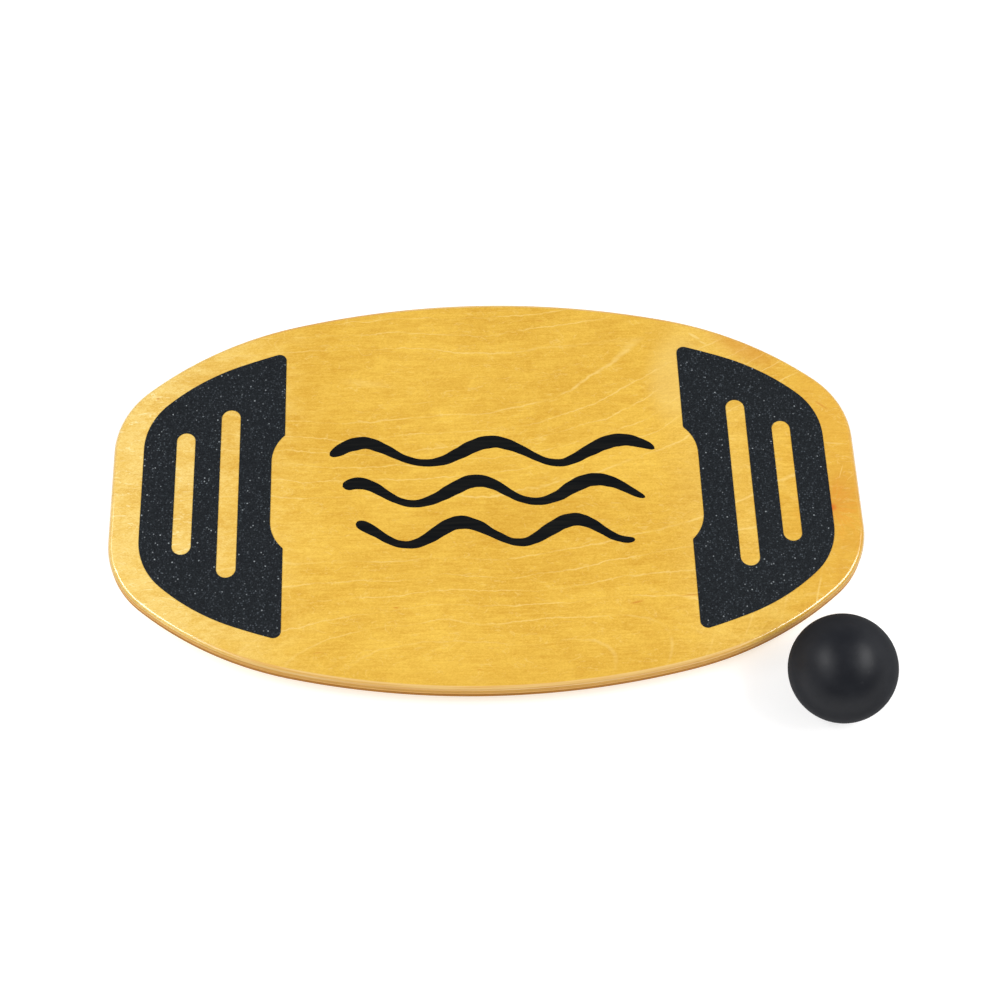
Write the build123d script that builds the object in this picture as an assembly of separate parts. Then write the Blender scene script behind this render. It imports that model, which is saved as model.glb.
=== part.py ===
"""Balance board: a five-ply deck with two grip pads, a stop ring underneath and a loose rubber ball.

Millimetres, +Z up. The origin is the centre of the board on the floor it stands on: the stop
ring's lower face lies at Z = 0, the deck runs lengthwise along X, and the ball rests on the
same floor, off the deck's front right-hand corner.
"""
import math
import os

from build123d import *

# --- Deck ---
DECK_LENGTH = 720.0
DECK_WIDTH = 425.0
DECK_CORNER_RADIUS = 89.0
DECK_SHOULDER_RADIUS = 339.0
DECK_CORNER_TURN = 49.0  # degrees from the end's normal to where the corner meets the shoulder
DECK_SHOULDER_TURN = 76.5  # degrees from the end's normal to where the shoulder meets the side
TOP_ROUNDING = 5.0
BOTTOM_ROUNDING = 2.0
PLY_THICKNESS = 3.2
PLY_NAMES = ("bottom_veneer", "lower_cross_ply", "core_ply", "upper_cross_ply", "top_veneer")

# --- Grip pads ---
PAD_THICKNESS = 0.8
PAD_LENGTH = 661.4  # over both pads, end to end
PAD_WIDTH = 372.6
PAD_CORNER_RADIUS = 68.0
PAD_SHOULDER_RADIUS = 212.0
PAD_CORNER_TURN = 47.0
PAD_SHOULDER_TURN = 69.3
PAD_INNER_EDGE_X = 194.6
PAD_INNER_CORNER_RADIUS = 7.0
RECESS_FLOOR_X = 207.1
RECESS_RADIUS = 40.0
RECESS_CENTRE_SPACING = 66.0
RECESS_MOUTH_ROUNDING = 2.0
LONG_SLOT = {"x": 247.4, "centre_spacing": 165.0, "width": 18.5}
SHORT_SLOT = {"x": 290.3, "centre_spacing": 115.0, "width": 18.0}

# --- Stop ring on the underside, which keeps the ball beneath the deck ---
RING_HEIGHT = 15.0
RING_OUTER_RADIUS = 160.0
RING_INNER_RADIUS = 138.0
RING_EDGE_ROUNDING = 3.0
COUNTERBORE_RADIUS = 7.0
COUNTERBORE_DEPTH = 6.0

# --- Ring screws and washers ---
SCREW_COUNT = 8
SCREW_START_ANGLE = 22.5
SHANK_RADIUS = 2.25
SCREW_HOLE_RADIUS = 2.3
SCREW_EMBEDMENT = 11.0  # how far the point reaches into the deck
SCREW_POINT_LENGTH = 4.0
SCREW_POINT_RADIUS = 0.4
HEAD_RADIUS = 4.5
HEAD_HEIGHT = 3.0
HEAD_ROUNDING = 1.2
DRIVE_WIDTH = 1.2
DRIVE_LENGTH = 5.0
DRIVE_DEPTH = 1.8
WASHER_RADIUS = 6.5
WASHER_HOLE_RADIUS = 2.5
WASHER_THICKNESS = 1.0
WASHER_CHAMFER = 0.3

# --- Ball ---
BALL_RADIUS = 50.0
BALL_X = 318.0
BALL_Y = -208.0

DECK_THICKNESS = PLY_THICKNESS * len(PLY_NAMES)
DECK_UNDERSIDE = RING_HEIGHT
DECK_TOP = DECK_UNDERSIDE + DECK_THICKNESS
SCREW_CIRCLE_RADIUS = (RING_OUTER_RADIUS + RING_INNER_RADIUS) / 2
WASHER_UNDERSIDE = COUNTERBORE_DEPTH - WASHER_THICKNESS
HEAD_BOTTOM = WASHER_UNDERSIDE - HEAD_HEIGHT
SCREW_TIP = DECK_UNDERSIDE + SCREW_EMBEDMENT
CUT_MARGIN = 1.0  # how far a cutting body overshoots the face it cuts through


def direction(angle):
    """Unit vector in the XY plane at an angle in degrees from +X."""
    return Vector(math.cos(math.radians(angle)), math.sin(math.radians(angle)))


def rounded_outline(length, width, corner_radius, shoulder_radius, corner_turn, shoulder_turn):
    """Face with straight ends, bowed sides, and a corner and a shoulder arc between them.

    All the arcs meet tangentially. The side arc is centred on the Y axis, so it follows from
    the others, and the half length of the straight end is what is left of the width.
    """
    corner_x = length / 2 - corner_radius
    shoulder_shift = direction(corner_turn) * (shoulder_radius - corner_radius)
    shoulder_x = corner_x - shoulder_shift.X
    side_shift = direction(shoulder_turn) * (shoulder_x / direction(shoulder_turn).X)
    side_radius = shoulder_radius + side_shift.length
    corner_y = width / 2 - side_radius + side_shift.Y + shoulder_shift.Y

    corner = Vector(corner_x, corner_y)
    shoulder = corner - shoulder_shift
    side = shoulder - side_shift
    with BuildSketch() as sketch:
        with BuildLine():
            Line((length / 2, 0), (length / 2, corner_y))
            CenterArc(corner, corner_radius, 0, corner_turn)
            CenterArc(shoulder, shoulder_radius, corner_turn, shoulder_turn - corner_turn)
            CenterArc(side, side_radius, shoulder_turn, 90 - shoulder_turn)
            mirror(about=Plane.YZ)
            mirror(about=Plane.XZ)
        make_face()
    return sketch.face()


def screw_spots():
    """Points of the screw circle, in the XY plane."""
    step = 360 / SCREW_COUNT
    return [direction(SCREW_START_ANGLE + step * index) * SCREW_CIRCLE_RADIUS for index in range(SCREW_COUNT)]


def cylinder_between(radius, bottom, top):
    """Upright cylinder on the Z axis from one height to another."""
    return Pos(0, 0, bottom) * Cylinder(
        radius, top - bottom, align=(Align.CENTER, Align.CENTER, Align.MIN)
    )


def at_screw_spots(shape):
    """Copies of a shape that is built on the Z axis, one on each screw spot."""
    return [Pos(spot.X, spot.Y) * shape for spot in screw_spots()]


def deck_block():
    """The whole deck before it is parted into plies, with rounded edges and screw holes."""
    outline = rounded_outline(
        DECK_LENGTH, DECK_WIDTH, DECK_CORNER_RADIUS, DECK_SHOULDER_RADIUS,
        DECK_CORNER_TURN, DECK_SHOULDER_TURN,
    )
    block = Pos(0, 0, DECK_UNDERSIDE) * extrude(outline, DECK_THICKNESS)
    block = fillet(block.faces().sort_by(Axis.Z)[-1].edges(), TOP_ROUNDING)
    block = fillet(block.faces().sort_by(Axis.Z)[0].edges(), BOTTOM_ROUNDING)
    hole = cylinder_between(SCREW_HOLE_RADIUS, DECK_UNDERSIDE - CUT_MARGIN, SCREW_TIP)
    return block - at_screw_spots(hole)


def plies():
    """The deck's five plies by name, parted at the glue lines."""
    block = deck_block()
    parts = {}
    for index, name in enumerate(PLY_NAMES):
        slab = Pos(0, 0, DECK_UNDERSIDE + PLY_THICKNESS * index) * Box(
            DECK_LENGTH + CUT_MARGIN, DECK_WIDTH + CUT_MARGIN, PLY_THICKNESS,
            align=(Align.CENTER, Align.CENTER, Align.MIN),
        )
        parts[name] = block & slab
    return parts


def upright_slot(x, centre_spacing, width):
    """Sketch of a round-ended slot along Y."""
    return Pos(x, 0) * SlotCenterToCenter(centre_spacing, width, rotation=90)


def grip_pad():
    """Right-hand grip pad, with its two slots and the shallow recess in its inner edge."""
    outline = rounded_outline(
        PAD_LENGTH, PAD_WIDTH, PAD_CORNER_RADIUS, PAD_SHOULDER_RADIUS,
        PAD_CORNER_TURN, PAD_SHOULDER_TURN,
    )
    right_of_edge = Pos(PAD_INNER_EDGE_X, 0) * Rectangle(
        PAD_LENGTH, PAD_WIDTH + CUT_MARGIN, align=(Align.MIN, Align.CENTER)
    )
    recess = upright_slot(RECESS_FLOOR_X - RECESS_RADIUS, RECESS_CENTRE_SPACING, 2 * RECESS_RADIUS)
    sheet = outline & right_of_edge
    inner_corners = sheet.vertices().sort_by(Axis.X)[:2]
    sheet = fillet(inner_corners, PAD_INNER_CORNER_RADIUS)
    sheet -= recess
    mouth_corners = sheet.vertices().sort_by(lambda vertex: (round(vertex.X, 3), abs(vertex.Y)))[:2]
    sheet = fillet(mouth_corners, RECESS_MOUTH_ROUNDING)
    sheet -= upright_slot(**LONG_SLOT)
    sheet -= upright_slot(**SHORT_SLOT)
    return Pos(0, 0, DECK_TOP) * extrude(sheet, PAD_THICKNESS)


def stop_ring():
    """Moulded rubber ring with rounded lower edges and a counterbored hole for each screw."""
    ring = cylinder_between(RING_OUTER_RADIUS, 0, RING_HEIGHT)
    ring -= cylinder_between(RING_INNER_RADIUS, -CUT_MARGIN, RING_HEIGHT + CUT_MARGIN)
    ring = fillet(ring.faces().sort_by(Axis.Z)[0].edges(), RING_EDGE_ROUNDING)
    counterbore = cylinder_between(COUNTERBORE_RADIUS, -CUT_MARGIN, COUNTERBORE_DEPTH)
    hole = cylinder_between(SCREW_HOLE_RADIUS, -CUT_MARGIN, RING_HEIGHT + CUT_MARGIN)
    return ring - at_screw_spots(counterbore) - at_screw_spots(hole)


def ring_screws():
    """Pan-head wood screws, point up, with a cross drive in the head."""
    head = cylinder_between(HEAD_RADIUS, HEAD_BOTTOM, WASHER_UNDERSIDE)
    head = fillet(head.faces().sort_by(Axis.Z)[0].edges(), HEAD_ROUNDING)
    shank = cylinder_between(SHANK_RADIUS, WASHER_UNDERSIDE, SCREW_TIP - SCREW_POINT_LENGTH)
    point = Pos(0, 0, SCREW_TIP - SCREW_POINT_LENGTH) * Cone(
        SHANK_RADIUS, SCREW_POINT_RADIUS, SCREW_POINT_LENGTH,
        align=(Align.CENTER, Align.CENTER, Align.MIN),
    )
    blade = Pos(0, 0, HEAD_BOTTOM) * Box(
        DRIVE_LENGTH, DRIVE_WIDTH, DRIVE_DEPTH, align=(Align.CENTER, Align.CENTER, Align.MIN)
    )
    screw = head + shank + point - blade - Rot(0, 0, 90) * blade
    return Compound(children=at_screw_spots(screw))


def ring_washers():
    """Flat washers between the screw heads and the counterbore floors."""
    washer = cylinder_between(WASHER_RADIUS, WASHER_UNDERSIDE, COUNTERBORE_DEPTH)
    washer = chamfer(washer.faces().sort_by(Axis.Z)[0].edges(), WASHER_CHAMFER)
    washer -= cylinder_between(
        WASHER_HOLE_RADIUS, WASHER_UNDERSIDE - CUT_MARGIN, COUNTERBORE_DEPTH + CUT_MARGIN
    )
    return Compound(children=at_screw_spots(washer))


def build_parts():
    """Every node of the board, by name."""
    right_pad = grip_pad()
    parts = plies()
    parts["right_grip_pad"] = right_pad
    parts["left_grip_pad"] = mirror(right_pad, about=Plane.YZ)
    parts["stop_ring"] = stop_ring()
    parts["ring_screws"] = ring_screws()
    parts["ring_washers"] = ring_washers()
    parts["rubber_ball"] = Pos(BALL_X, BALL_Y, BALL_RADIUS) * Sphere(BALL_RADIUS)
    return parts


os.makedirs("parts", exist_ok=True)
for name, shape in build_parts().items():
    export_step(shape, f"parts/{name}.step")
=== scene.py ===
"""Looks of the balance board: varnished birch ply, grip sheets, rubber ball, ring and fasteners.

Metres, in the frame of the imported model: +X along the deck, +Z up, the floor at Z = 0.
"""

import math

import bmesh
import bpy
import numpy as np
from mathutils import Matrix, Vector, geometry, noise


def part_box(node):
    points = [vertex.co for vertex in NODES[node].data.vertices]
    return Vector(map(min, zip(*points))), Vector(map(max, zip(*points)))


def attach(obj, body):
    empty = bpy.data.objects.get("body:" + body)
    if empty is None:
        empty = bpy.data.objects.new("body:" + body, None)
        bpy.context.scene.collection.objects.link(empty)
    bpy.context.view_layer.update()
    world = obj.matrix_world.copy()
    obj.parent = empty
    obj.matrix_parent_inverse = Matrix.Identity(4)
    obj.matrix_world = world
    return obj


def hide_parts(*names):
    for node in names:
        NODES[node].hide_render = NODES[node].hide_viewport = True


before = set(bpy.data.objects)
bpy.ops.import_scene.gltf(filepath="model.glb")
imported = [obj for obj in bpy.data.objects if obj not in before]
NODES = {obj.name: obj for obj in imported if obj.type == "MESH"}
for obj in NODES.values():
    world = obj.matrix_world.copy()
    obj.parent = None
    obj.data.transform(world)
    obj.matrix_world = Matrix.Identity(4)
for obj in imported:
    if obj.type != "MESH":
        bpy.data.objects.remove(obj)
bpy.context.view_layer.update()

MM = 0.001
DECK_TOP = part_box("top_veneer")[1].z
DECK_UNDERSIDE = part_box("bottom_veneer")[0].z
DECK_LENGTH, DECK_WIDTH = (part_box("core_ply")[1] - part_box("core_ply")[0]).xy


# --- Node helpers ---

MIX_COLOUR_INPUTS = (0, 6, 7)  # places of a Mix node's factor and colours among its sockets
MIX_COLOUR_OUTPUT = 2


class Shader:
    """A material's node tree, with one short call for each kind of node it needs."""

    def __init__(self, name, **inputs):
        self.material = bpy.data.materials.new(name)
        self.material.use_nodes = True
        self.tree = self.material.node_tree
        self.surface = self.tree.nodes["Principled BSDF"]
        self.place = self.tree.nodes.new("ShaderNodeTexCoord").outputs["Object"]
        self.set(**inputs)

    def set(self, **inputs):
        """Sets or links the surface's inputs, whose names are written with _ for a space."""
        for name, value in inputs.items():
            self.feed(self.surface.inputs[name.replace("_", " ")], value)

    def feed(self, socket, value):
        """Links an output to a socket, or sets the socket to a number or a colour."""
        if isinstance(value, bpy.types.NodeSocket):
            self.tree.links.new(value, socket)
        elif isinstance(value, tuple) and socket.type == "RGBA":
            socket.default_value = (*value, 1)
        else:
            socket.default_value = value

    def math(self, operation, *values):
        """One step of arithmetic."""
        node = self.tree.nodes.new("ShaderNodeMath")
        node.operation = operation
        for socket, value in zip(node.inputs, values):
            self.feed(socket, value)
        return node.outputs[0]

    def stretched(self, scale, shift=(0, 0, 0), turn=0):
        """Object coordinates, turned about Z, shifted and scaled along each axis."""
        node = self.tree.nodes.new("ShaderNodeMapping")
        self.feed(node.inputs["Vector"], self.place)
        node.inputs["Scale"].default_value = scale
        node.inputs["Location"].default_value = shift
        node.inputs["Rotation"].default_value = (0, 0, turn)
        return node.outputs[0]

    def noise(self, where, scale=1.0, detail=2.0, roughness=0.5, distortion=0.0):
        """Noise from 0 to 1."""
        node = self.tree.nodes.new("ShaderNodeTexNoise")
        self.feed(node.inputs["Vector"], where)
        for name, value in (("Scale", scale), ("Detail", detail), ("Roughness", roughness),
                            ("Distortion", distortion)):
            node.inputs[name].default_value = value
        return node.outputs["Fac"]

    def cells(self, where, scale):
        """Voronoi cells: distance to the nearest point, and a random colour for each cell."""
        node = self.tree.nodes.new("ShaderNodeTexVoronoi")
        self.feed(node.inputs["Vector"], where)
        node.inputs["Scale"].default_value = scale
        return node.outputs["Distance"], node.outputs["Color"]

    def ramp(self, value, low, high, start=0.0, end=1.0):
        """Smooth step of a value from low to high, mapped to start and end."""
        node = self.tree.nodes.new("ShaderNodeMapRange")
        node.interpolation_type = "SMOOTHSTEP"
        for socket, number in zip(node.inputs, (value, low, high, start, end)):
            self.feed(socket, number)
        return node.outputs[0]

    def weighted(self, *shares):
        """Sum of values, each smooth-stepped from low to high and given a weight."""
        total = 0.0
        for value, low, high, weight in shares:
            total = self.math("MULTIPLY_ADD", self.ramp(value, low, high), weight, total)
        return total

    def mix(self, factor, first, second):
        """The first colour at factor 0 and the second at 1."""
        node = self.tree.nodes.new("ShaderNodeMix")
        node.data_type = "RGBA"
        for index, value in zip(MIX_COLOUR_INPUTS, (factor, first, second)):
            self.feed(node.inputs[index], value)
        return node.outputs[MIX_COLOUR_OUTPUT]

    def axis(self, which):
        """One object coordinate."""
        node = self.tree.nodes.new("ShaderNodeSeparateXYZ")
        self.feed(node.inputs[0], self.place)
        return node.outputs[which]

    def bump(self, height, strength, distance):
        """Small relief on the surface, as high as the distance where the height is 1."""
        node = self.tree.nodes.new("ShaderNodeBump")
        node.inputs["Strength"].default_value = strength
        node.inputs["Distance"].default_value = distance
        self.feed(node.inputs["Height"], height)
        self.set(Normal=node.outputs[0])


# --- Camera ---

CAMERA_PLACE = Vector((-0.0407, -0.9430, 1.7183))
CAMERA_AZIMUTH = math.radians(3.43)  # to the right of +Y
CAMERA_TILT = math.radians(61.15)  # below the horizontal
CAMERA_ROLL = math.radians(1.73)
CAMERA_LENS = 72.3
SENSOR = 36.0
CAMERA_SHIFT = -0.0025
CAMERA_NEAR, CAMERA_FAR = 0.05, 100


def camera():
    """Looks down at the board from the front, turned slightly to the right and rolled a little."""
    data = bpy.data.cameras.new("camera")
    data.sensor_width = SENSOR
    data.lens = CAMERA_LENS
    data.clip_start, data.clip_end = CAMERA_NEAR, CAMERA_FAR
    data.shift_x = CAMERA_SHIFT
    eye = bpy.data.objects.new("camera", data)
    turn = Matrix.Rotation(-CAMERA_AZIMUTH, 4, "Z")
    tilt = Matrix.Rotation(math.pi / 2 - CAMERA_TILT, 4, "X")
    roll = Matrix.Rotation(CAMERA_ROLL, 4, "Z")
    eye.matrix_world = Matrix.Translation(CAMERA_PLACE) @ turn @ tilt @ roll
    bpy.context.scene.collection.objects.link(eye)
    bpy.context.scene.camera = eye


# --- Wood ---

FACE_VARNISH = {
    "Coat_Weight": 1.0, "Coat_Roughness": 0.05, "Coat_IOR": 1.7, "Specular_IOR_Level": 0.2,
}
EDGE_VARNISH = {
    "Coat_Weight": 0.06, "Coat_Roughness": 0.25, "Coat_IOR": 1.5, "Specular_IOR_Level": 0.04,
}
BIRCH_PALE = (0.89, 0.57, 0.078)
# Deep birch tone, also used for the painted shade along the front.
BIRCH_DEEP_AND_SHADE = (0.61, 0.305, 0.013)
BIRCH_LINE = (0.90, 0.64, 0.19)
# Pale for the band at the right pad and the scuffs; a painted sheen at the left end and beside the
# right pad.
BIRCH_BLOND_AND_SHEEN = (0.90, 0.655, 0.205)  # the left end, a band at the right pad, and scuffs
BIRCH_AMBER = (0.72, 0.36, 0.035)  # the right end
BIRCH_STREAK = (0.66, 0.31, 0.012)
BIRCH_RAY = (0.95, 0.77, 0.34)
PORE_BROWN = (0.60, 0.29, 0.014)
FLECK_BROWN = (0.58, 0.19, 0.012)

# The figure of the veneer: arches whose crests lie along X, as a rotary cut shows them.
CREST_Y = 118 * MM
CREST_SPACING = 323 * MM
LEAN_START_X = -20 * MM
LEAN_REACH = 150 * MM
LEAN = 25 * MM
FALL_AT_CENTRE = 10.0  # per square metre
FALL_CHANGE = -40.0  # per cubic metre, across the board
ARCH_CENTRE_X = -75 * MM
ARCH_CENTRE_SLOPE = -0.32
RING_STEP = 0.3
FIRST_RING = 0.71
WANDER = 30 * MM
TREMOR = 7 * MM
LINE_WIDTH = 0.055  # of the step between two rings


def growth_rings(shader):
    """Level number of the growth rings at each place: a whole number on a line."""
    calc = shader.math
    x = shader.axis("X")
    wander = calc("SUBTRACT", shader.noise(shader.stretched((7, 11, 1)), 1.0, 2.0, 0.5), 0.5)
    tremor = calc("SUBTRACT", shader.noise(shader.stretched((60, 90, 1)), 1.0, 4.0, 0.65), 0.5)
    y = calc("MULTIPLY_ADD", wander, WANDER, shader.axis("Y"))
    y = calc("MULTIPLY_ADD", tremor, TREMOR, y)
    reach = calc("MAXIMUM", calc("DIVIDE", calc("SUBTRACT", x, LEAN_START_X), LEAN_REACH), 0.0)
    lean = calc("MULTIPLY", calc("MULTIPLY", reach, reach), LEAN)
    past_crest = calc("SUBTRACT", calc("SUBTRACT", y, lean), CREST_Y)
    arch = calc("COSINE", calc("MULTIPLY", past_crest, math.tau / CREST_SPACING))
    offset = calc("SUBTRACT", x, calc("MULTIPLY_ADD", y, ARCH_CENTRE_SLOPE, ARCH_CENTRE_X))
    steepness = calc("MULTIPLY_ADD", y, FALL_CHANGE, FALL_AT_CENTRE)
    fall = calc("MULTIPLY", steepness, calc("MULTIPLY", offset, offset))
    height = calc("SUBTRACT", arch, calc("MULTIPLY", fall, calc("MULTIPLY_ADD", arch, 0.5, 0.5)))
    return calc("DIVIDE", calc("SUBTRACT", height, FIRST_RING), RING_STEP)


def growth_lines(shader):
    """Soft pale lines on the rings, stronger here and there, and the phase between two lines."""
    phase = shader.math("FRACT", shader.math("ADD", growth_rings(shader), 0.5))
    crest = shader.math("ABSOLUTE", shader.math("SUBTRACT", phase, 0.5))
    patches = shader.noise(shader.stretched((12, 30, 1)), 1.0, 4.0, 0.65)
    strength = shader.ramp(patches, 0.4, 0.58, 0.12, 1.0)
    return shader.math("MULTIPLY", shader.ramp(crest, 0.0, LINE_WIDTH, 1.0, 0.0), strength), phase


CURL_WIDTH = 0.022  # of the noise's range


def curls(shader, scale, turn=0.0):
    """Short thin curved strokes: level lines of a noise, broken by a second one."""
    field = shader.noise(shader.stretched(scale, turn=turn), 1.0, 3.0, 0.5, 1.2)
    off_level = shader.math("ABSOLUTE", shader.math("SUBTRACT", field, 0.5))
    line = shader.ramp(off_level, 0.0, CURL_WIDTH, 1.0, 0.0)
    parts = shader.noise(shader.stretched(scale, (3, 5, 0), turn), 2.2, 2.0, 0.5)
    return shader.math("MULTIPLY", line, shader.ramp(parts, 0.47, 0.58))


KNOT_PLACE = (331 * MM, -31 * MM)
KNOT_EYE = 6 * MM
KNOT_REACH = 48 * MM
KNOT_AMBER = (0.78, 0.33, 0.02)
KNOT_ORANGE = (0.72, 0.17, 0.005)
KNOT_STREAKS = 5.0  # noise cells per radian
KNOT_STREAK_STEPS = 40.0  # noise cells per metre outwards

# Brown flecks, and pale scuffs with one painted sheen: x, y, length and width in mm, turn in
# degrees, strength.
FLECKS = (
    (137, -127, 22, 3.5, 14, 0.6), (188, -121, 34, 2, 2, 0.6), (-88, -127, 9, 3, 0, 0.6),
    (-160, -171, 14, 2, 5, 0.5), (-12, -192, 8, 2, 0, 0.5), (302, 55, 12, 2, -30, 0.4),
    (338, -20, 90, 60, 75, 0.28), (333, 84, 26, 4, -40, 0.5), (-320, 107, 5, 4, 0, 0.7),
    (-250, 176, 12, 2, 20, 0.5), (60, 190, 16, 2, -6, 0.5), (262, 154, 130, 50, -35, 0.42),
)

SCUFFS_AND_SHEEN = (
    (-336, -42, 44, 1.2, 66, 0.55), (-330, -30, 52, 1.0, 62, 0.5), (-342, -24, 30, 1.0, 58, 0.5),
    (-334, 22, 36, 1.0, 60, 0.4), (-326, -75, 26, 1.2, 40, 0.5), (-318, 60, 22, 1.0, 75, 0.4),
    (214, 168, 18, 4.0, -35, 0.6), (222, 160, 12, 3.0, -30, 0.5), (341, 40, 26, 1.4, -4, 0.6),
    (344, 8, 20, 1.2, 70, 0.5), (-60, 96, 30, 1.0, 8, 0.35), (96, -62, 24, 1.0, 20, 0.35),
    (272, -4, 10, 1.0, 28, 0.5), (262, -66, 14, 1.0, 40, 0.4), (-236, -38, 26, 2.0, 62, 0.5),
    # A painted sheen beside the right pad.
    (192, 120, 130, 72, 82, 0.3),
)


def fleck(shader, x, y, length, width, turn):
    """A soft spot, 1 at its middle and 0 at its rim."""
    mapping = shader.tree.nodes.new("ShaderNodeMapping")
    mapping.vector_type = "TEXTURE"
    shader.feed(mapping.inputs["Vector"], shader.place)
    mapping.inputs["Location"].default_value = (x * MM, y * MM, DECK_TOP)
    mapping.inputs["Rotation"].default_value = (0, 0, math.radians(turn))
    mapping.inputs["Scale"].default_value = (length / 2 * MM, width / 2 * MM, 1)
    spot = shader.tree.nodes.new("ShaderNodeTexGradient")
    spot.gradient_type = "SPHERICAL"
    shader.feed(spot.inputs["Vector"], mapping.outputs[0])
    return spot.outputs["Fac"]


def knot(shader, colour):
    """A small orange knot, with streaks that fan out from it."""
    across = shader.math("SUBTRACT", shader.axis("X"), KNOT_PLACE[0])
    along = shader.math("SUBTRACT", shader.axis("Y"), KNOT_PLACE[1])
    squares = [shader.math("MULTIPLY", side, side) for side in (across, along)]
    away = shader.math("SQRT", shader.math("ADD", *squares))
    bearing = shader.math("ARCTAN2", along, across)
    polar = shader.tree.nodes.new("ShaderNodeCombineXYZ")
    shader.feed(polar.inputs[0], shader.math("MULTIPLY", bearing, KNOT_STREAKS))
    shader.feed(polar.inputs[1], shader.math("MULTIPLY", away, KNOT_STREAK_STEPS))
    fan = shader.ramp(shader.noise(polar.outputs[0], 1.0, 3.0, 0.6), 0.42, 0.62)
    reach = shader.ramp(away, KNOT_EYE, KNOT_REACH, 0.7, 0.0)
    colour = shader.mix(shader.math("MULTIPLY", fan, reach), colour, KNOT_AMBER)
    return shader.mix(shader.ramp(away, 0.2 * KNOT_EYE, KNOT_EYE, 0.95, 0.0), colour, KNOT_ORANGE)


def marks_and_sheen(shader, colour):
    """Pale scuffs and a painted sheen, and brown flecks over them."""
    for *spot, strength in SCUFFS_AND_SHEEN:
        share = shader.ramp(fleck(shader, *spot), 0.0, 0.6, 0.0, strength)
        colour = shader.mix(share, colour, BIRCH_BLOND_AND_SHEEN)
    for *spot, strength in FLECKS:
        share = shader.ramp(fleck(shader, *spot), 0.1, 0.9, 0.0, strength)
        colour = shader.mix(share, colour, FLECK_BROWN)
    return colour


# Where the tones, the painted sheen and shade, and the lines change over the board, as the start
# and the end of each change.
# The left end's pale tone is a painted sheen.
LEFT_SHEEN_FADE_X = (-0.28, -0.1)
BAND_RISE_X = (0.2, 0.26)
BAND_FADE_X = (0.3, 0.35)
AMBER_RISE_X = (0.3, 0.42)
# The front's deeper tone is painted shade.
FRONT_SHADE_Y = (-0.205, -0.165)
LINES_FADE_X = (0.3, 0.33)
LINES_RISE_Y = (-0.185, -0.14)
TONE_WANDER = 90 * MM


def tones_sheen_and_shade(shader, colour, ripple, mottle):
    """Paints a sheen on the left end, pales a band at the right pad, deepens the right end, and
    paints shade along the front.
    """
    x = shader.math("MULTIPLY_ADD", mottle, TONE_WANDER, shader.axis("X"))
    marbling = shader.math("MULTIPLY", shader.ramp(ripple, 0.35, 0.62, 1.0, 0.5),
                           shader.ramp(mottle, 0.4, 0.62, 1.0, 0.55))
    band = shader.math("MULTIPLY", shader.ramp(x, *BAND_RISE_X),
                       shader.ramp(x, *BAND_FADE_X, 0.24, 0.0))
    # The left end's share is a painted sheen.
    blond_and_sheen = shader.math("MAXIMUM", shader.ramp(x, *LEFT_SHEEN_FADE_X, 0.95, 0.0), band)
    colour = shader.mix(shader.math("MULTIPLY", blond_and_sheen, marbling), colour, BIRCH_BLOND_AND_SHEEN)
    colour = shader.mix(shader.ramp(x, *AMBER_RISE_X, 0.0, 0.5), colour, BIRCH_AMBER)
    # Painted shade darkens the front of the face.
    front = shader.ramp(shader.axis("Y"), *FRONT_SHADE_Y, 0.22, 0.0)
    return shader.mix(front, colour, BIRCH_DEEP_AND_SHADE)


CURLS = (  # scale, strength, colour
    ((42, 75, 20), 0.34, BIRCH_LINE),
    ((55, 160, 20), 0.3, BIRCH_STREAK),
)
RAYS = (  # turn, start and end of the rise in X, strength
    (-0.3, -0.26, -0.3, 0.95),
    (0.35, 0.3, 0.34, 0.2),
)
RAY_SCALE = (30, 110, 20)


def strokes(shader, colour, lines):
    """Growth lines, pale and dark curls, and rays at both ends."""
    lines = shader.math("MULTIPLY", lines, shader.ramp(shader.axis("X"), *LINES_FADE_X, 0.66, 0.0))
    lines = shader.math("MULTIPLY", lines, shader.ramp(shader.axis("Y"), *LINES_RISE_Y, 0.4, 1.0))
    colour = shader.mix(lines, colour, BIRCH_LINE)
    for scale, strength, tint in CURLS:
        colour = shader.mix(shader.math("MULTIPLY", curls(shader, scale), strength), colour, tint)
    for turn, start, end, strength in RAYS:
        share = shader.ramp(shader.axis("X"), start, end, 0.0, strength)
        rays = shader.math("MULTIPLY", curls(shader, RAY_SCALE, turn), share)
        colour = shader.mix(rays, colour, BIRCH_RAY)
    return colour


def wood_colour(shader, with_marks_and_sheen):
    """Golden birch: growth lines, fibres along X, pores, a rippled figure, slow tone changes, and
    painted sheen and shade.
    """
    lines, phase = growth_lines(shader)
    fibres = shader.noise(shader.stretched((34, 480, 60)), 1.0, 3.0, 0.65)
    ripple = shader.noise(shader.stretched((190, 300, 60)), 1.0, 2.0, 0.6, 2.6)
    mottle = shader.noise(shader.stretched((34, 60, 20)), 1.0, 4.0, 0.6, 0.6)
    tone = shader.noise(shader.stretched((4, 7, 2)), 1.0, 3.0, 0.6)
    depth = shader.weighted((fibres, 0.35, 0.65, 0.2), (ripple, 0.36, 0.64, 0.3),
                            (mottle, 0.36, 0.64, 0.18), (tone, 0.36, 0.64, 0.2))
    depth = shader.math("MULTIPLY_ADD", phase, 0.1, depth)
    colour = shader.mix(depth, BIRCH_PALE, BIRCH_DEEP_AND_SHADE)
    colour = tones_sheen_and_shade(shader, colour, ripple, mottle)
    colour = knot(shader, strokes(shader, colour, lines))
    pores = shader.noise(shader.stretched((60, 700, 90)), 1.0, 2.0, 0.7)
    colour = shader.mix(shader.ramp(pores, 0.57, 0.72, 0.0, 0.32), colour, PORE_BROWN)
    if with_marks_and_sheen:
        colour = marks_and_sheen(shader, colour)
    return colour, fibres, ripple


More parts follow.
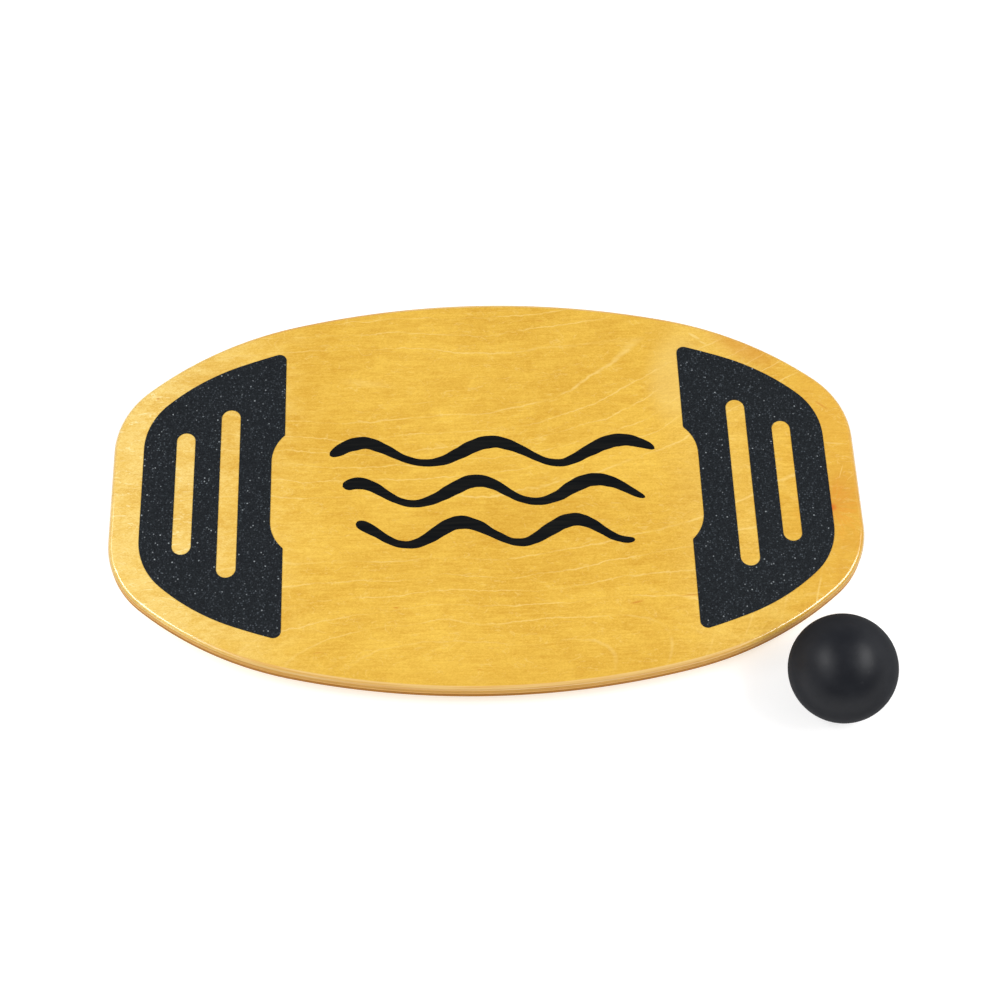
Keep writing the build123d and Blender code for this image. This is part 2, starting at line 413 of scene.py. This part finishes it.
SANDED_DROP = (0.05 * MM, 0.2 * MM)  # below the face
SANDED_FADE_X = (0.17, 0.3)
SANDED_PALE = (0.80, 0.53, 0.185)
SANDED_DEEP = (0.70, 0.36, 0.08)
END_DROP = (0.8 * MM, 2 * MM)
END_RISE_X = (0.3, 0.345)
END_AMBER = (0.58, 0.35, 0.055)


def sanded_rounding(shader, colour):
    """Pales the rounding where it is sanded through the stained face, least at the ends."""
    drop = shader.math("SUBTRACT", DECK_TOP, shader.axis("Z"))
    layers = shader.noise(shader.stretched((7, 7, 1500)), 1.0, 3.0, 0.6)
    tan = shader.mix(shader.ramp(layers, 0.4, 0.6), SANDED_PALE, SANDED_DEEP)
    along = shader.math("ABSOLUTE", shader.axis("X"))
    sanded = shader.math("MULTIPLY", shader.ramp(drop, *SANDED_DROP),
                         shader.ramp(along, *SANDED_FADE_X, 0.9, 0.12))
    colour = shader.mix(sanded, colour, tan)
    low = shader.math("MULTIPLY", shader.ramp(drop, *END_DROP),
                      shader.ramp(along, *END_RISE_X, 0.0, 0.85))
    return shader.mix(low, colour, END_AMBER)


RIM_RISE = (0.1 * MM, 1.2 * MM)  # above the underside
# Painted shade on the side of the bottom ply.
RIM_PAINTED_SHADE = (0.36, 0.14, 0.012)


def painted_shade_rim(shader, colour):
    """Darkens the side of the bottom ply with painted shade, and leaves its underside as it is."""
    rise = shader.math("SUBTRACT", shader.axis("Z"), DECK_UNDERSIDE)
    return shader.mix(shader.ramp(rise, *RIM_RISE, 0.0, 0.9), colour, RIM_PAINTED_SHADE)


def varnished_birch(name, varnish, rim, with_marks_and_sheen):
    """Birch veneer under varnish, with a rim of its own."""
    shader = Shader(name, **varnish)
    colour, fibres, ripple = wood_colour(shader, with_marks_and_sheen)
    shader.set(Base_Color=rim(shader, colour), Roughness=shader.ramp(fibres, 0.2, 0.8, 0.36, 0.5))
    shader.bump(shader.math("ADD", fibres, ripple), 0.12, 0.1 * MM)
    return shader.material


def ply_edge(name, pale, deep):
    """Sanded ply edge under varnish, with streaks that run along the layer, and open pores."""
    shader = Shader(name, Roughness=0.5, **EDGE_VARNISH)
    layers = shader.noise(shader.stretched((6, 6, 900)), 1.0, 4.0, 0.65)
    pores = shader.noise(shader.stretched((260, 260, 500)), 1.0, 2.0, 0.6)
    patches = shader.noise(shader.stretched((25, 25, 80)), 1.0, 2.0, 0.5)
    depth = shader.weighted((layers, 0.38, 0.62, 0.7), (pores, 0.3, 0.7, 0.15),
                            (patches, 0.3, 0.7, 0.15))
    shader.set(Base_Color=shader.mix(depth, pale, deep))
    shader.bump(pores, 0.15, 0.08 * MM)
    return shader.material


# --- Other materials ---

GRIT_DEEP = (0.0015, 0.003, 0.005)
GRIT_PALE = (0.0115, 0.0155, 0.0195)
GRIT_THREAD = (0.05, 0.06, 0.07)
GRIT_GREY = (0.075, 0.09, 0.105)
# Painted glint on a few grains.
GRIT_GLINT = (0.3, 0.33, 0.35)


def grip_sheet():
    """Mineral grit in a dark binder, with fine threads, grey grains, and a painted glint on a few
    grains.
    """
    shader = Shader("grip_sheet_grit", Specular_IOR_Level=0.2)
    grains = shader.noise(shader.place, 700, 3.0, 0.75)
    patches = shader.noise(shader.place, 110, 3.0, 0.6)
    distance, random_colour = shader.cells(shader.place, 480)
    pick = shader.tree.nodes.new("ShaderNodeSeparateColor")
    shader.feed(pick.inputs[0], random_colour)
    near = shader.ramp(distance, 0.15, 0.5, 1.0, 0.0)
    # A few cells get a painted glint.
    glint = shader.math("MULTIPLY", shader.ramp(pick.outputs[0], 0.955, 1.0), near)
    grey = shader.math("MULTIPLY", shader.ramp(pick.outputs[1], 0.45, 1.0),
                       shader.math("MULTIPLY", near, shader.ramp(patches, 0.35, 0.65, 0.5, 1.0)))
    colour = shader.mix(shader.ramp(grains, 0.35, 0.7), GRIT_DEEP, GRIT_PALE)
    threads = shader.math("MULTIPLY", curls(shader, (170, 170, 170)), 0.75)
    for share, tint in ((threads, GRIT_THREAD), (grey, GRIT_GREY), (glint, GRIT_GLINT)):
        colour = shader.mix(share, colour, tint)
    shader.set(Base_Color=colour, Roughness=shader.ramp(glint, 0.0, 1.0, 0.7, 0.3))
    shader.bump(grains, 0.5, 0.2 * MM)
    return shader.material


BALL_COLOURS = ((0.0165, 0.0178, 0.0222), (0.0104, 0.0114, 0.0148))  # pale and deep
RING_COLOURS = ((0.02, 0.02, 0.021), (0.01, 0.01, 0.011))
RUBBER_SCUFF = (0.05, 0.05, 0.055)


def rubber(name, pale, deep, grain):
    """Matt moulded rubber with a fine grain, bloom and slight scuffs, dull when seen edge-on."""
    shader = Shader(name, Specular_IOR_Level=0.18)
    fine = shader.noise(shader.place, grain, 2.0, 0.6)
    bloom = shader.noise(shader.place, 28, 4.0, 0.6)
    scuffs = shader.noise(shader.stretched((90, 30, 240), turn=0.6), 1.0, 3.0, 0.6)
    colour = shader.mix(shader.ramp(bloom, 0.3, 0.75), deep, pale)
    colour = shader.mix(shader.ramp(scuffs, 0.66, 0.8, 0.0, 0.3), colour, RUBBER_SCUFF)
    edge_on = shader.tree.nodes.new("ShaderNodeLayerWeight").outputs["Facing"]
    roughness = shader.math("MAXIMUM", shader.ramp(bloom, 0.3, 0.7, 0.35, 0.45),
                            shader.ramp(edge_on, 0.1, 0.62, 0.36, 0.85))
    shader.set(Base_Color=colour, Roughness=roughness)
    shader.bump(fine, 0.25, 0.06 * MM)
    return shader.material


ZINC_PALE = (0.72, 0.72, 0.7)
ZINC_DEEP = (0.45, 0.46, 0.47)


def zinc(name):
    """Bright zinc plate, slightly uneven."""
    shader = Shader(name, Metallic=1.0)
    clouds = shader.noise(shader.place, 900, 3.0, 0.6)
    shader.set(Base_Color=shader.mix(clouds, ZINC_PALE, ZINC_DEEP))
    shader.set(Roughness=shader.ramp(clouds, 0.3, 0.7, 0.25, 0.45))
    return shader.material


INK_DEEP = (0.002, 0.003, 0.004)
INK_PALE = (0.008, 0.008, 0.007)
INK_WORN = (0.06, 0.045, 0.02)


def print_ink():
    """Black screen print that the grain shows through a little, worn in small specks."""
    shader = Shader("print_ink", Coat_Weight=0.12, Coat_Roughness=0.2, Specular_IOR_Level=0.08)
    fibres = shader.noise(shader.stretched((22, 420, 60)), 1.0, 3.0, 0.6)
    specks = shader.noise(shader.stretched((300, 500, 60)), 1.0, 2.0, 0.6)
    colour = shader.mix(shader.ramp(fibres, 0.3, 0.8), INK_DEEP, INK_PALE)
    shader.set(Base_Color=shader.mix(shader.ramp(specks, 0.72, 0.8, 0.0, 0.5), colour, INK_WORN))
    shader.set(Roughness=shader.ramp(fibres, 0.3, 0.7, 0.4, 0.55))
    shader.bump(fibres, 0.12, 0.1 * MM)
    return shader.material


def paint(node, material):
    """Gives a CAD node a material in every slot."""
    for slot in NODES[node].material_slots:
        slot.material = material


# --- Meshes ---

SHARP_ANGLE = math.radians(40)


def add_piece(name, vertices, faces, material, body, node=None, smooth=True):
    """Makes an object that rides on a body. It may replace a CAD node."""
    data = bpy.data.meshes.new(name)
    data.from_pydata([tuple(vertex) for vertex in vertices], [], faces)
    data.polygons.foreach_set("use_smooth", [smooth] * len(data.polygons))
    if smooth:
        data.set_sharp_from_angle(angle=SHARP_ANGLE)
    data.materials.append(material)
    data.update()
    piece = bpy.data.objects.new(name, data)
    bpy.context.scene.collection.objects.link(piece)
    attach(piece, body)
    if node:
        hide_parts(node)
    return piece


def bands(rows, count):
    """Faces between neighbouring rings of points, when each ring has the same count of them."""
    faces = []
    for row in range(rows - 1):
        for step in range(count):
            here, after = row * count + step, row * count + (step + 1) % count
            faces.append((here, after, after + count, here + count))
    return faces


def direction(angle):
    """Unit vector in the XY plane at an angle in degrees from +X."""
    return Vector((math.cos(math.radians(angle)), math.sin(math.radians(angle))))


# --- Deck ---

CORNER_RADIUS = 89 * MM
SHOULDER_RADIUS = 339 * MM
CORNER_TURN = 49  # degrees from the end's normal to where the corner meets the shoulder
SHOULDER_TURN = 76.5  # and to where the shoulder meets the side
OUTLINE_STEP = 4 * MM
END_STEPS = 10


def quarter_outline():
    """Points from the middle of the deck's end to the middle of its side, and where each faces."""
    corner_x = DECK_LENGTH / 2 - CORNER_RADIUS
    shoulder_shift = direction(CORNER_TURN) * (SHOULDER_RADIUS - CORNER_RADIUS)
    side_run = (corner_x - shoulder_shift.x) / direction(SHOULDER_TURN).x
    side_shift = direction(SHOULDER_TURN) * side_run
    side_radius = SHOULDER_RADIUS + side_shift.length
    corner_y = DECK_WIDTH / 2 - side_radius + side_shift.y + shoulder_shift.y
    corner = Vector((corner_x, corner_y))
    shoulder = corner - shoulder_shift
    spots = [(Vector((DECK_LENGTH / 2, corner.y * step / END_STEPS)), direction(0))
             for step in range(END_STEPS)]
    for centre, radius, start, end in (
        (corner, CORNER_RADIUS, 0, CORNER_TURN),
        (shoulder, SHOULDER_RADIUS, CORNER_TURN, SHOULDER_TURN),
        (shoulder - side_shift, side_radius, SHOULDER_TURN, 90),
    ):
        count = math.ceil(math.radians(end - start) * radius / OUTLINE_STEP)
        for step in range(count):
            facing = direction(start + (end - start) * step / count)
            spots.append((centre + facing * radius, facing))
    return spots + [(Vector((0, DECK_WIDTH / 2)), direction(90))]


def mirrored(spots, x, y):
    """The spots with both axes kept or turned round, as x and y are 1 or -1."""
    return [(Vector((place.x * x, place.y * y)), Vector((facing.x * x, facing.y * y)))
            for place, facing in spots]


def whole_outline(quarter):
    """The quarter mirrored to all four, anticlockwise."""
    back = quarter[::-1]
    return (quarter + mirrored(back, -1, 1)[1:] + mirrored(quarter, -1, -1)[1:]
            + mirrored(back, 1, -1)[1:-1])


TOP_ROUNDING = 5 * MM
BOTTOM_ROUNDING = 2 * MM
ROUNDING_STEPS = 24
GROOVE_DEPTH = 0.12 * MM  # at each glue line, which is sanded a little deeper
GROOVE_HEIGHT = 0.2 * MM
SUPPORT = 0.6 * MM  # width of the flat strip inside a rounding, which keeps its shading smooth


def rounding_inset(height):
    """How far the deck's edge stands back from its widest line at a height."""
    above = max(0.0, height - (DECK_TOP - TOP_ROUNDING))
    below = max(0.0, DECK_UNDERSIDE + BOTTOM_ROUNDING - height)
    return (TOP_ROUNDING - math.sqrt(TOP_ROUNDING ** 2 - min(above, TOP_ROUNDING) ** 2)
            + BOTTOM_ROUNDING - math.sqrt(BOTTOM_ROUNDING ** 2 - min(below, BOTTOM_ROUNDING) ** 2))


def ply_levels(low, high):
    """Inset and height of each line round a ply, from its lower face to its upper one."""
    turns = [math.pi / 2 * step / ROUNDING_STEPS for step in range(ROUNDING_STEPS)]
    heights = [DECK_TOP - TOP_ROUNDING + TOP_ROUNDING * math.sin(turn) for turn in turns]
    heights += [DECK_UNDERSIDE + BOTTOM_ROUNDING - BOTTOM_ROUNDING * math.sin(turn)
                for turn in turns]
    heights += [low + GROOVE_HEIGHT, high - GROOVE_HEIGHT]
    inner = sorted(z for z in heights if low + GROOVE_HEIGHT <= z <= high - GROOVE_HEIGHT)
    levels = [(rounding_inset(z), z) for z in inner]
    if low > DECK_UNDERSIDE + GROOVE_HEIGHT:
        levels.insert(0, (rounding_inset(low) + GROOVE_DEPTH, low))
    else:
        levels = [(BOTTOM_ROUNDING + SUPPORT, low), (BOTTOM_ROUNDING, low)] + levels
    if high < DECK_TOP - GROOVE_HEIGHT:
        return levels + [(rounding_inset(high) + GROOVE_DEPTH, high)]
    return levels + [(TOP_ROUNDING, high), (TOP_ROUNDING + SUPPORT, high)]


def add_ply(node, outline, material):
    """One ply of the deck with its share of the rounded edge."""
    low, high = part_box(node)
    levels = ply_levels(low.z, high.z)
    vertices = [(*(place - facing * inset), height)
                for inset, height in levels for place, facing in outline]
    count = len(outline)
    faces = bands(len(levels), count)
    faces.append(tuple(range(count - 1, -1, -1)))
    faces.append(tuple(range(len(vertices) - count, len(vertices))))
    add_piece(f"{node}_wood", vertices, faces, material, "board", node)


INNER_PLIES = (  # node, material, pale and deep colour, slot
    ("upper_cross_ply", "upper_cross_edge", (0.76, 0.42, 0.093), (0.53, 0.25, 0.037),
     "ply_edge_cross_grain"),
    ("core_ply", "core_edge", (0.83, 0.48, 0.135), (0.58, 0.27, 0.043), "ply_edge_long_grain"),
    # The lower cross ply's edge colours hold painted shade, which makes them darker than the upper
    # cross ply's.
    ("lower_cross_ply", "lower_cross_edge_shaded", (0.53, 0.22, 0.02), (0.34, 0.12, 0.007),
     "ply_edge_cross_grain"),
)


def deck():
    """The five plies, from the face down."""
    outline = whole_outline(quarter_outline())
    face = varnished_birch("varnished_birch_face", FACE_VARNISH, sanded_rounding, True)
    add_ply("top_veneer", outline, face)
    for node, name, pale, deep, slot in INNER_PLIES:
        add_ply(node, outline, ply_edge(name, pale, deep))
    underside = varnished_birch("varnished_birch_underside", EDGE_VARNISH, painted_shade_rim, False)
    add_ply("bottom_veneer", outline, underside)


# --- Grip pads ---

GRIT_SPACING = 0.95 * MM
GRIT_JITTER = 0.4 * MM
GRIT_HEIGHT = 0.34 * MM
GRIT_SKEW = 1.5  # above 1, most grains are near the full height
RIM_CLEARANCE = 0.3 * MM
RIM_DROP = 0.12 * MM
FLAT = 0.01 * MM  # how far a flat face's corners may lie below its plane
SAME_PLACE = 6  # digits of a metre
SAME_POINT = 1e-7  # points closer than this are joined in the triangulation


def rim_edges(node):
    """Corner points of a node's upper face, and the pairs of them that its outline joins."""
    mesh = NODES[node].data
    top = max(vertex.co.z for vertex in mesh.vertices)
    uses = {}
    for polygon in mesh.polygons:
        corners = [mesh.vertices[index].co for index in polygon.vertices]
        if min(corner.z for corner in corners) < top - FLAT:
            continue
        places = [(round(corner.x, SAME_PLACE), round(corner.y, SAME_PLACE)) for corner in corners]
        for pair in zip(places, places[1:] + places[:1]):
            uses[frozenset(pair)] = uses.get(frozenset(pair), 0) + 1
    pairs = sorted(sorted(pair) for pair, count in uses.items() if count == 1 and len(pair) == 2)
    corners = sorted({corner for pair in pairs for corner in pair})
    numbered = [(corners.index(first), corners.index(second)) for first, second in pairs]
    return np.array(corners), numbered


def inside(points, corners, pairs, clearance=0.0):
    """Which points lie within the outline, at least a clearance from it."""
    within = np.zeros(len(points), bool)
    clear = np.ones(len(points), bool)
    for first, second in pairs:
        start, end = corners[first], corners[second]
        crosses = (start[1] > points[:, 1]) != (end[1] > points[:, 1])
        if start[1] != end[1]:
            reach = start[0] + (points[:, 1] - start[1]) * (end[0] - start[0]) / (end[1] - start[1])
            within ^= crosses & (points[:, 0] < reach)
        if clearance:
            run = end - start
            share = np.clip((points - start) @ run / (run @ run), 0, 1)
            clear &= np.linalg.norm(points - start - share[:, None] * run, axis=1) > clearance
    return within & clear


def triangles(points, corners, pairs):
    """Triangles over the inside of the outline, through all the points within it."""
    points = [Vector(point) for point in points]
    places, _, faces, *_ = geometry.delaunay_2d_cdt(points, pairs, [], 0, SAME_POINT)
    places = np.array([tuple(place) for place in places])
    faces = np.array([face for face in faces if len(face) == 3])
    keep = inside(places[faces].mean(axis=1), corners, pairs)
    return places, faces[keep]


def grip_pad(node, material, seed):
    """Gritty sheet: an uneven top of small facets, cut square at its rim."""
    draw = np.random.default_rng(seed)
    low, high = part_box(node)
    corners, pairs = rim_edges(node)
    rows = np.arange(low.y, high.y, GRIT_SPACING * math.sqrt(3) / 2)
    columns = np.arange(low.x, high.x, GRIT_SPACING)
    x, y = np.meshgrid(columns, rows)
    x = x + (np.arange(len(rows)) % 2 * GRIT_SPACING / 2)[:, None]
    grid = np.stack([x.ravel(), y.ravel()], axis=1)
    grid += draw.uniform(-GRIT_JITTER, GRIT_JITTER, grid.shape)
    grid = grid[inside(grid, corners, pairs, RIM_CLEARANCE)]
    places, top = triangles(np.concatenate([corners, grid]), corners, pairs)
    heights = high.z - GRIT_HEIGHT * draw.random(len(places)) ** GRIT_SKEW
    heights[:len(corners)] = high.z - RIM_DROP - GRIT_HEIGHT / 2
    _, bottom = triangles(corners, corners, pairs)
    vertices = [(*place, height) for place, height in zip(places, heights)]
    under = len(vertices)
    vertices += [(*corner, low.z) for corner in corners]
    faces = [tuple(face) for face in top.tolist()]
    faces += [tuple(under + index for index in face[::-1]) for face in bottom.tolist()]
    for first, second in pairs:
        faces.append((first, second, under + second, under + first))
    piece = add_piece(f"{node}_grit", vertices, faces, material, "board", node,
                      smooth=False)
    face_outward(piece.data)


def face_outward(data):
    """Turns every face so that its normal points out of the closed mesh."""
    mesh = bmesh.new()
    mesh.from_mesh(data)
    bmesh.ops.recalc_face_normals(mesh, faces=mesh.faces)
    mesh.to_mesh(data)
    mesh.free()


# --- Ball ---

BALL_AROUND = 160
BALL_ACROSS = 100
SEAM_HEIGHT = 0.12 * MM
SEAM_WIDTH = 0.5 * MM
ORANGE_PEEL = 0.03 * MM
PEEL_SCALE = 40  # bumps per radius


def ball(material):
    """Moulded ball with a fine parting seam and a slightly uneven skin.

    It lies with the seam round the outline that the camera sees, because the photo shows none.
    """
    low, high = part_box("rubber_ball")
    centre = (low + high) / 2
    radius = (high.z - low.z) / 2
    seam_axis = (CAMERA_PLACE - centre).normalized()
    turn = seam_axis.to_track_quat("Z", "Y").to_matrix()
    seam_turn = SEAM_WIDTH / radius
    latitudes = [math.pi * (step / BALL_ACROSS - 0.5)
                 for step in range(1, BALL_ACROSS) if step * 2 != BALL_ACROSS]
    latitudes = sorted(latitudes + [-seam_turn, -seam_turn / 2, 0.0, seam_turn / 2, seam_turn])
    vertices = []
    for latitude in latitudes:
        level = math.cos(latitude)
        seam = max(0.0, 1 - abs(latitude) / seam_turn)
        for step in range(BALL_AROUND):
            longitude = math.tau * step / BALL_AROUND
            way = turn @ Vector((level * math.cos(longitude), level * math.sin(longitude),
                                 math.sin(latitude)))
            peel = noise.noise(way * PEEL_SCALE) - 1
            vertices.append(centre + way * (radius - SEAM_HEIGHT * (1 - seam) + ORANGE_PEEL * peel))
    faces = bands(len(latitudes), BALL_AROUND)
    last = len(latitudes) - 1
    for side, row in ((-1, 0), (1, last)):
        pole = len(vertices)
        tip = Vector((0, 0, side * (radius - SEAM_HEIGHT - ORANGE_PEEL)))
        vertices.append(centre + turn @ tip)
        for step in range(BALL_AROUND):
            pair = (row * BALL_AROUND + step, row * BALL_AROUND + (step + 1) % BALL_AROUND)
            faces.append((*pair[::side], pole))
    add_piece("ball_rubber", vertices, faces, material, "ball", "rubber_ball")


# --- Printed waves ---

PRINT_CENTRE = Vector((7 * MM, -6 * MM))
PRINT_LENGTH = 316 * MM
PRINT_THICKNESS = 0.06 * MM
WAVE_COUNT = 3
WAVE_SPACING = 44 * MM
WAVE_SHORTENING = 0.08  # of the print's length, from each wave to the next
WAVE_PHASE = 0.9  # radians, from each wave to the next
WAVES_PER_STROKE = 2.5
WAVE_HEIGHT = 12 * MM
SWELL = 0.25  # how much the waves differ in height
SWELLS = 5
STROKE = 14 * MM
STROKE_STEPS = 240
STROKE_MEAN, STROKE_SWING, STROKE_LEAD = 0.8, 0.25, 0.6
TIP_POWER = 24  # the higher, the blunter the stroke's tips
UNEVENNESS = 0.12
UNEVEN_SPOTS = 30


def wave_stroke(name, centre_y, length, phase, material):
    """One brush stroke along a wave, fat on the crests and thin between, with an uneven rim."""
    vertices, faces = [], []
    for step in range(STROKE_STEPS + 1):
        share = step / STROKE_STEPS
        turn = phase + share * math.tau * WAVES_PER_STROKE
        swell = 1 + SWELL * noise.noise(Vector((share * SWELLS, phase, 0)))
        x = PRINT_CENTRE.x + (share - 0.5) * length
        y = centre_y + WAVE_HEIGHT * swell * math.sin(turn)
        slope = WAVE_HEIGHT * math.tau * WAVES_PER_STROKE / length * math.cos(turn)
        across = Vector((-slope, 1)).normalized()
        tip = math.sqrt(max(1e-4, 1 - abs(2 * share - 1) ** TIP_POWER))
        brush = STROKE / 2 * (STROKE_MEAN + STROKE_SWING * math.sin(turn + STROKE_LEAD)) * tip
        for side in (-1, 1):
            uneven = 1 + UNEVENNESS * noise.noise(Vector((share * UNEVEN_SPOTS, phase, side)))
            for height in (DECK_TOP, DECK_TOP + PRINT_THICKNESS):
                vertices.append((x + across.x * brush * uneven * side,
                                 y + across.y * brush * uneven * side, height))
    for start in range(0, 4 * STROKE_STEPS, 4):
        for first, second in ((1, 3), (3, 2), (2, 0), (0, 1)):
            faces.append((start + first, start + first + 4, start + second + 4, start + second))
    last = 4 * STROKE_STEPS
    faces.append((0, 1, 3, 2))
    faces.append((last, last + 2, last + 3, last + 1))
    piece = add_piece(name, vertices, faces, material, "board")
    face_outward(piece.data)


def printed_waves():
    """Generic wave strokes in place of the photo's mark and lettering."""
    ink = print_ink()
    for index in range(WAVE_COUNT):
        offset = (WAVE_COUNT - 1) / 2 - index
        wave_stroke(f"printed_wave_{index + 1}", PRINT_CENTRE.y + offset * WAVE_SPACING,
                    PRINT_LENGTH * (1 - WAVE_SHORTENING * index), WAVE_PHASE * index, ink)


# --- Stage ---

WHITE = (1, 1, 1)
FLOOR_REACH = 12
FLOOR_GREY = (0.6, 0.6, 0.6)
FLOOR_GLOW = 0.58
WORLD_GLOW = 0.22
LIGHT_WIDTH = 1.0
LIGHTS = (  # name, place, length along Y, power
    ("softbox_left", (-1.98, 0.0, 2.22), 1.8, 38),
    ("softbox_right", (1.98, -0.1, 2.22), 1.8, 44),
    ("strip_left", (-2.1, -0.3, 2.36), 4.0, 32),
    ("strip_right", (2.1, -0.3, 2.36), 3.4, 24),
)


def area_light(name, place, length, power):
    """Softbox that faces the board; its longer side lies along Y."""
    light = bpy.data.lights.new(name, "AREA")
    light.shape = "RECTANGLE"
    light.size, light.size_y = LIGHT_WIDTH, length
    light.energy = power
    lamp = bpy.data.objects.new(name, light)
    facing = -Vector(place).normalized()
    along = (Vector((0, 1, 0)) - facing * facing.y).normalized()
    across = along.cross(-facing)
    turn = Matrix((across, along, -facing)).transposed().to_4x4()
    lamp.matrix_world = Matrix.Translation(place) @ turn
    bpy.context.scene.collection.objects.link(lamp)


def floor():
    """White sweep that glows a little, as a lit one does, so that the shadows on it stay faint."""
    corners = [(x * FLOOR_REACH, y * FLOOR_REACH, 0)
               for x, y in ((-1, -1), (1, -1), (1, 1), (-1, 1))]
    data = bpy.data.meshes.new("floor")
    data.from_pydata(corners, [], [(0, 1, 2, 3)])
    shader = Shader("floor_white", Base_Color=FLOOR_GREY, Roughness=0.9, Specular_IOR_Level=0.1,
                    Emission_Color=WHITE, Emission_Strength=FLOOR_GLOW)
    data.materials.append(shader.material)
    plane = bpy.data.objects.new("floor", data)
    bpy.context.scene.collection.objects.link(plane)


def studio():
    """Softboxes on both sides, a faintly lit world and the floor."""
    world = bpy.data.worlds.new("studio")
    world.use_nodes = True
    background = world.node_tree.nodes["Background"]
    background.inputs["Color"].default_value = (*WHITE, 1)
    background.inputs["Strength"].default_value = WORLD_GLOW
    bpy.context.scene.world = world
    for light in LIGHTS:
        area_light(*light)
    floor()
    bpy.context.scene.view_settings.view_transform = "Standard"


BALL_GRAIN = 1400
RING_GRAIN = 900


def board_and_ball():
    """Rebuilds the plies, the pads and the ball, and paints the ring and its fasteners."""
    deck()
    grip = grip_sheet()
    grip_pad("left_grip_pad", grip, 1)
    grip_pad("right_grip_pad", grip, 2)
    ball(rubber("ball_rubber_matt", *BALL_COLOURS, BALL_GRAIN))
    paint("stop_ring", rubber("ring_rubber_matt", *RING_COLOURS, RING_GRAIN))
    zinc_plate = zinc("zinc_plate")
    paint("ring_screws", zinc_plate)
    paint("ring_washers", zinc_plate)


board_and_ball()
printed_waves()
studio()
camera()
